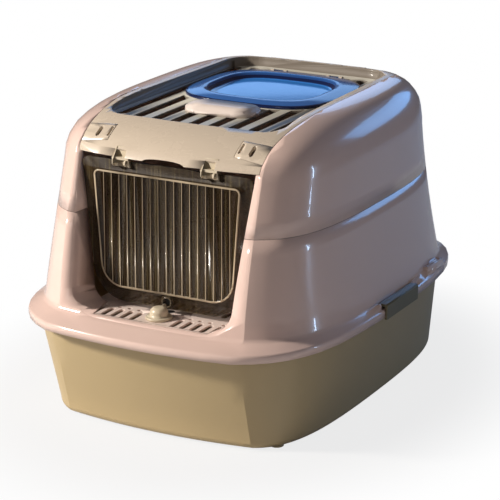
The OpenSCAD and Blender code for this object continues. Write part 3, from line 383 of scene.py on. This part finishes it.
khaki = moulded("pan_plastic", (0.47, 0.365, 0.20), (0.51, 0.40, 0.22), 0.36, 0.0003, 700,
                worn=(0.60, 0.50, 0.34))
finish_piece(pan, khaki, "pan", "pan_plastic", "base_pan", angle=18)


# ---- Hood ----
# Two glossy pink mouldings: the lower hood with its flange and doorway, and the domed upper
# hood that snaps on at the seam. High gloss with faint handling haze and hairline scratches.
def dressed(node, name):
    """A stand-in for a CAD node with its own merged mesh, ready for smooth shading."""
    piece = bpy.data.objects.new(name, frame["nodes"][node].data.copy())
    bpy.context.scene.collection.objects.link(piece)
    bpy.ops.object.select_all(action="DESELECT")
    piece.select_set(True)
    bpy.context.view_layer.objects.active = piece
    bpy.ops.object.mode_set(mode="EDIT")
    bpy.ops.mesh.select_all(action="SELECT")
    bpy.ops.mesh.remove_doubles(threshold=0.00001)
    bpy.ops.object.mode_set(mode="OBJECT")
    return piece


pink = moulded("hood_plastic", (0.74, 0.55, 0.48), (0.77, 0.585, 0.51), 0.2, 0.00006, 700, 0.0007)
pink.set(Coat_Weight=0.6, Coat_Roughness=0.03)
seam_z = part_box("hood_lower")[1][2]
crease_x, crease_reach, above_flange = 118 * mm, 0.8 * mm, 131 * mm
seam_line = 1 - (pink.part("Z") - seam_z).sum("ABSOLUTE").ramp(0.25 * mm, 0.5 * mm)
pink.set(Base_Color=pink.tone(seam_line * 0.6, pink.fed("Base Color"), (0.07, 0.045, 0.04)))
for node in ("hood_lower", "hood_upper"):
    shell = dressed(node, node + "_shell")
    finish_piece(shell, pink, "hood", "hood_plastic", node, angle=50)
    for edge in shell.data.edges:
        across = [abs(shell.data.vertices[i].co.x) for i in edge.vertices]
        low = min(shell.data.vertices[i].co.z for i in edge.vertices)
        if low > above_flange and all(abs(x - crease_x) < crease_reach for x in across):
            edge.use_edge_sharp = True

# ---- Grip pads ----
# Two low pink pads on the flange near the back corners, moulded with the lower hood, with a
# dished top and softened edges.
pad_x, pad_y, pad_length, pad_width, pad_top = 188.3 * mm, 121 * mm, 50 * mm, 12 * mm, 11 * mm
flange_top, pad_root = 127.1 * mm, 2 * mm
for side, turned in (("left", -1), ("right", 1)):
    bpy.ops.object.select_all(action="DESELECT")
    bpy.ops.mesh.primitive_cube_add(size=1, scale=(pad_width, pad_length, pad_top + pad_root),
        location=(turned * pad_x, pad_y, flange_top + (pad_top - pad_root) / 2))
    bpy.ops.object.transform_apply(location=True, rotation=True, scale=True)
    pad = bpy.context.object
    pad.name = "grip_pad_" + side
    bpy.ops.object.mode_set(mode="EDIT")
    bpy.ops.mesh.select_mode(type="FACE")
    mesh = bmesh.from_edit_mesh(pad.data)
    for face in mesh.faces:
        face.select_set(face.normal.z > 0.9)
    bmesh.update_edit_mesh(pad.data)
    bpy.ops.transform.resize(value=(0.82, 0.9, 1))
    bpy.ops.mesh.inset(thickness=1.8 * mm)
    bpy.ops.transform.translate(value=(0, 0, -2.2 * mm))
    bpy.ops.object.mode_set(mode="OBJECT")
    bevel(pad, 0.9 * mm, 4)
    finish_piece(pad, pink, "hood", "hood_plastic")

# ---- Entry deck ----
# The perforated step in the doorway, a separate pink moulding that sits on a ledge, with a
# disc magnet let into it behind the knob.
# Painted light: the deck's pink is lighter than the hood's same plastic, standing in for light on a step
# that lies in shade.
lit_deck_pink = moulded("deck_plastic", (0.84, 0.69, 0.61), (0.87, 0.73, 0.65), 0.34, 0.0001, 700, 0.0006)
deck_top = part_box("entry_deck")[1][2]
# Painted shade: the deck below its top is painted darker, where it sits down in the ledge.
under = 1 - lit_deck_pink.part("Z").ramp(deck_top - 3 * mm, deck_top - 1 * mm)
lit_deck_pink.set(Base_Color=lit_deck_pink.tone(under, lit_deck_pink.fed("Base Color"), (0.5, 0.30, 0.23)))
finish_piece(dressed("entry_deck", "deck_plate"), lit_deck_pink, "hood", "hood_plastic", "entry_deck")

# ---- Door bolt ----
# The round knob on the deck: one beige moulding with a bolt under it, kept by a washer and a
# screw. Its plastic also makes the door's hinge clips and gussets, painted dark as shade on their
# faces that turn to the right above the pocket foot.
ivory = moulded("fitting_plastic", (0.58, 0.50, 0.36), (0.62, 0.54, 0.40), 0.28, 0.0001,
                worn=(0.8, 0.74, 0.64))
pocket_foot = 303 * mm
# Painted shade: faces turned to the right above the pocket foot are darkened, standing in for the shade in
# the gusset pockets.
painted_pocket_shade = ivory.facing("X").ramp(0.3, 0.5) * ivory.part("Z").ramp(pocket_foot, pocket_foot + 0.4 * mm)
ivory.set(Base_Color=ivory.tone(painted_pocket_shade, ivory.fed("Base Color"), (0.20, 0.165, 0.105)))
finish_piece(dressed("door_bolt", "bolt_knob"), ivory, "bolt", "fitting_plastic", "door_bolt")

# ---- Door ----
# The hanging flap: clear smoke-brown plastic with upright ribs inside a raised frame, and a
# tube at its foot that takes the bolt and holds a rod magnet.
smoke = moulded("door_plastic", (0.03, 0.018, 0.01), (0.04, 0.025, 0.014), 0.2, 0.00002, 700, 0.0003, 0.04)
door_low, door_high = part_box("door_panel")
hinge_radius, half_sheet, rib_proud = 4 * mm, 1.25 * mm, 1.4 * mm
crest_y = door_low.y + hinge_radius - half_sheet - rib_proud
# Painted highlights: the rib crests and the door's lower edges are painted pale and less clear, standing
# in for glints of light.
crest = (crest_y + 0.06 * mm - smoke.part("Y")).ramp(0, 0.06 * mm)
lit = smoke.noise(7, 2, 0.5, (2.4, 1, 0.6)).ramp(0.3, 0.68) * 0.8 + 0.2
# Painted light: pale upright streaks in the dark body stand in for light bent through the ribs.
painted_refraction_streaks = smoke.noise(60, 2, 0.6, (9, 1, 0.1)).ramp(0.5, 0.75)
bent = smoke.tone(painted_refraction_streaks, (0.026, 0.015, 0.006), (0.13, 0.10, 0.045))
low_band = 1 - smoke.part("Z").ramp(door_low.z + 12 * mm, door_low.z + 14 * mm)
painted_edge_highlight = smoke.edges(1.2 * mm) * (1 - smoke.part("Z").ramp(door_low.z + 40 * mm, door_low.z + 90 * mm))
painted_highlights = (crest * lit * 0.85).most(painted_edge_highlight * 0.9)
barrel = smoke.part("Z").ramp(door_high.z - 13 * mm, door_high.z - 12 * mm)
smoke.set(Base_Color=smoke.tone(painted_highlights, bent, (0.56, 0.46, 0.32)),
          Roughness=smoke.fed("Roughness") + barrel * 0.4,
          Alpha=painted_highlights * 0.25 + 0.74 - low_band * 0.2, Specular_IOR_Level=0.35,
          Coat_Weight=(1 - barrel) * 0.15, Coat_Roughness=0.04)
for node in ("door_panel", "bolt_socket"):
    finish_piece(dressed(node, node + "_clear"), smoke, "door", "door_plastic", node)
for side in ("left", "right"):
    clip = "door_hinge_clip_" + side
    finish_piece(dressed(clip, clip + "_block"), ivory, "cover", "fitting_plastic", clip)

# ---- Hinge gussets ----
# Over each door hinge the cover's front lip is stiffened by a thin ear, a short leg and a
# three-cornered pocket between them, moulded with the cover. Edges broken by the mould.
ear_shape = [(-187, 300), (-197.5, 300), (-200.5, 303), (-200.5, 307), (-189.5, 320.8), (-185, 320.8),
             (-184, 310)]
leg_shape = [(-187, 300), (-196, 300), (-198.5, 302.5), (-197.5, 306), (-190.5, 309.5), (-187, 309.5),
             (-184, 305)]
valley = [(-6.8, -189.5, 321), (3.5, -190.5, 303.5)]
facets = [[valley[0], (-7.2, -200.4, 303.5), valley[1]],
          [valley[0], valley[1], (6.4, -191.5, 304), (8.6, -189, 320.8)]]
gusset_x, gusset_back = 56, -184
for side, turned in (("left", -1), ("right", 1)):
    middle = turned * gusset_x
    ear = [[Vector((middle + across, y, z)) * mm for y, z in ear_shape] for across in (-7.9, -6.7)]
    leg = [[Vector((middle + across, y, z)) * mm for y, z in leg_shape] for across in (5.5, 7.9)]
    pocket = [[[Vector((middle + x, y if back is None else back, z)) * mm for x, y, z in facet]
               for back in (None, gusset_back)] for facet in facets]
    gusset = None
    for rings in (ear, leg, *pocket):
        prism = skin("hinge_gusset_" + side, rings)
        bevel(prism, 0.15 * mm, 2)
        if gusset:
            join_to(gusset)
        gusset = gusset or prism
    finish_piece(gusset, ivory, "cover", "fitting_plastic", angle=30)

# ---- Top cover ----
# The beige lifting cover: a domed frame round a sunken tray with a grille, rolled at the
# back about its hinges, with two push buttons and a finger scoop in its front lip.
beige = moulded("cover_plastic", (0.60, 0.51, 0.40), (0.64, 0.55, 0.435), 0.27, 0.00008, 800, 0.0009)
beige.set(Coat_Weight=0.15, Coat_Roughness=0.15)
tray_side, tray_front, cover_edge = 112 * mm, -142 * mm, 113.5 * mm
tray_low, tray_floor = 328 * mm, 341 * mm
walls = 1 - beige.facing("Z").ramp(0.35, 0.7)
x_off = beige.part("X").sum("ABSOLUTE")
behind_lip = beige.part("Y").ramp(tray_front, tray_front + 1 * mm)
within = (1 - x_off.ramp(tray_side, tray_side + 1 * mm)) * behind_lip
in_tray = within * (1 - beige.part("Z").ramp(tray_floor, tray_floor + 1.2 * mm)).most(walls)
# Painted shade: inside the tray the grille is painted greyer and the walls and deep parts dark, standing
# in for the shade of the recess.
deep = 1 - beige.part("Z").ramp(tray_low, tray_floor)
painted_tray_shade = beige.tone(walls.most(deep), (0.48, 0.46, 0.39), (0.19, 0.16, 0.125))
colour_with_tray_shade = beige.tone(in_tray, beige.fed("Base Color"), painted_tray_shade)
# Painted shadow: a dark line along the cover's outer edges stands in for the shadow in the gap to the
# hood.
painted_gap_shadow = beige.edges(1.3 * mm) * x_off.ramp(cover_edge, cover_edge + 1 * mm)
beige.set(Base_Color=beige.tone(painted_gap_shadow, colour_with_tray_shade, (0.06, 0.05, 0.045)),
          Roughness=beige.fed("Roughness") + in_tray * 0.3)
for node in ("top_cover", "cover_hinge_knuckle_left", "cover_hinge_knuckle_right"):
    finish_piece(dressed(node, node + "_shell"), beige, "cover", "cover_plastic", node)
for side in ("left", "right"):
    bracket, button = "cover_hinge_bracket_" + side, "cover_button_" + side
    finish_piece(dressed(bracket, bracket + "_block"), beige, "hood", "cover_plastic", bracket)
    finish_piece(dressed(button, button + "_plate"), beige, "button_" + side, "cover_plastic", button)
    bracket = "lid_hinge_bracket_" + side
    finish_piece(dressed(bracket, bracket + "_block"), beige, "cover", "cover_plastic", bracket)

# ---- Lid ----
# The see-through lid, painted blue, which stands in for the blue light it reflects: a thin
# moulding with a turned-down rim, a crowned border and a dish. Its slopes and rim side are
# painted dark as shade, where light passes them the long way, and its dish floor is painted
# lighter than its border as light. Two knuckles at the back.
lid_low, lid_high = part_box("lid_panel")
knuckle_radius, knuckle_length, bore_radius, hinge_x = 3 * mm, 12 * mm, 1.85 * mm, 38 * mm
lid_axis = Vector((0, lid_high.y - knuckle_radius, lid_low.z + knuckle_radius))
lid_a, lid_b = lid_high.x, (lid_axis.y - lid_low.y) / 2
lid_y, seat_z, crest_z, plate, dish_depth = lid_axis.y - lid_b, lid_axis.z, lid_high.z, 2.6 * mm, 7 * mm
dish_a, dish_b, dish_y, squareness = lid_a - 23 * mm, lid_b - 25 * mm, lid_y - 4 * mm, 3.2


def lid_ring(half_width, half_length, middle, z):
    points, count = [], 112
    for i in range(count):
        u = math.tau * i / count
        x, y = math.cos(u), math.sin(u)
        points.append(Vector((half_width * math.copysign(abs(x) ** (2 / squareness), x),
                              middle + half_length * math.copysign(abs(y) ** (2 / squareness), y), z)))
    return points


rim_profile = [(0, 0), (0, 1.9), (0.25, 2.5), (0.7, 2.85), (1.3, 3.0)]
dish_profile = [(8, -0.35), (5, -0.08), (3, 0), (1.6, -0.1), (0.6, -0.5), (-0.4, -1.3), (-4.6, -5.8),
                (-5.6, -6.5), (-7, -6.9), (-9, -7)]
under_profile = [(-10, -9.4), (-4, -8.6), (3.4, -3.2), (8, -2.95)]
top_side = [lid_ring(lid_a - draw * mm, lid_b - draw * mm, lid_y, seat_z + up * mm)
            for draw, up in rim_profile]
dish_side, under_side = ([lid_ring(dish_a + out * mm, dish_b + out * mm, dish_y, crest_z + up * mm)
                          for out, up in profile] for profile in (dish_profile, under_profile))
under_side += [lid_ring(lid_a - 3.6 * mm, lid_b - 3.6 * mm, lid_y, seat_z + 0.6 * mm),
               lid_ring(lid_a - plate, lid_b - plate, lid_y, seat_z)]
lid = skin("lid_dish", [*under_side, *top_side, *dish_side])
turns = [math.tau * i / 40 for i in range(40)]
for turned in (-1, 1):
    tube = []
    for across, radius in ((-0.5, knuckle_radius), (0.5, knuckle_radius), (0.5, bore_radius),
                           (-0.5, bore_radius)):
        centre = lid_axis + Vector((turned * hinge_x + across * knuckle_length, 0, 0))
        tube.append([centre + radius * Vector((0, math.cos(turn), math.sin(turn))) for turn in turns])
    skin("lid_knuckle", tube, looped=True)
    join_to(lid)
# Painted reflection: the lid's blue stands in for the blue light it reflects.
blue = moulded("lid_plastic", (0.05, 0.22, 0.60), (0.07, 0.26, 0.66), 0.12, 0.00004, 700, 0.0006, 0.05)
# Painted shade: steep slopes and the rim's side band are painted near black-blue.
steep = 1 - blue.facing("Z", "Normal").ramp(0.55, 0.98)
sunk = (crest_z - dish_depth + 1 * mm - blue.part("Z")).ramp(0, 0.8 * mm)
border_blue = blue.tone(blue.noise(6, 3), (0.025, 0.11, 0.40), (0.05, 0.20, 0.58))
# Painted light: the dish floor is a lighter blue than the border of the same plastic.
painted_lit_floor_blue = blue.tone(blue.noise(9, 3), (0.035, 0.26, 0.82), (0.05, 0.31, 0.90))
up = blue.part("Z")
over_rim = up.ramp(seat_z + 3.1 * mm, seat_z + 3.5 * mm)
rim_side = up.ramp(seat_z - 0.4 * mm, seat_z + 0.2 * mm) * (1 - over_rim)
open_blue = blue.tone(sunk, border_blue, painted_lit_floor_blue)
blue.set(Base_Color=blue.tone(steep.most(rim_side), open_blue, (0.006, 0.014, 0.07)), Alpha=0.92,
         Coat_Weight=0.2, Coat_Roughness=0.05)
finish_piece(lid, blue, "lid", "lid_plastic", "lid_panel", angle=24)

# ---- Lid latch ----
# The pale sliding latch ahead of the lid, with teeth that run under its rim. One moulding that
# slides in the grille, kept by a plate under it.
pale = moulded("latch_plastic", (0.76, 0.66, 0.59), (0.80, 0.70, 0.63), 0.32, 0.0001, 800, 0.0012)
finish_piece(dressed("lid_latch", "latch_slider"), pale, "latch", "latch_plastic", "lid_latch")

# ---- Side clips ----
# Olive swing clips that hook under the pan's lip, one on each side. Each is one moulding that
# turns on a steel pin held by the hood.
olive = moulded("clip_plastic", (0.16, 0.145, 0.085), (0.185, 0.165, 0.10), 0.3, 0.0001, 800, 0.0006)
for side in ("left", "right"):
    clip = "side_clip_" + side
    finish_piece(dressed(clip, clip + "_bar"), olive, "clip_" + side, "clip_plastic", clip)

# ---- Hidden metal and keepers ----
# Hinge pins of drawn steel wire, sintered magnets, and the black keepers under the deck and
# the grille. Their CAD solids stay and only take a finish.
steel = Finish("pin_steel")
lines = steel.noise(500, 2, 0.5, (0.05, 1, 1))
steel.set(Base_Color=steel.tone(lines, (0.52, 0.52, 0.53), (0.66, 0.66, 0.66)), Metallic=1.0,
          Roughness=lines * 0.15 + 0.22)
steel.relief(lines, 0.3, 0.00005, 0.0003)
ferrite = moulded("magnet", (0.035, 0.034, 0.034), (0.06, 0.058, 0.056), 0.55, 0.0003, 1200, 0.0004)
black = moulded("keeper_plastic", (0.02, 0.019, 0.019), (0.032, 0.03, 0.03), 0.38, 0.0002, 900, 0.0005)
by_slot = {"pin_steel": steel, "magnet": ferrite, "keeper_plastic": black}
for part in frame["record"]["subparts"]:
    if part["material_slot"] in by_slot:
        node = frame["nodes"][part["node"]]
        node.data.materials.clear()
        node.data.materials.append(by_slot[part["material_slot"]].material)
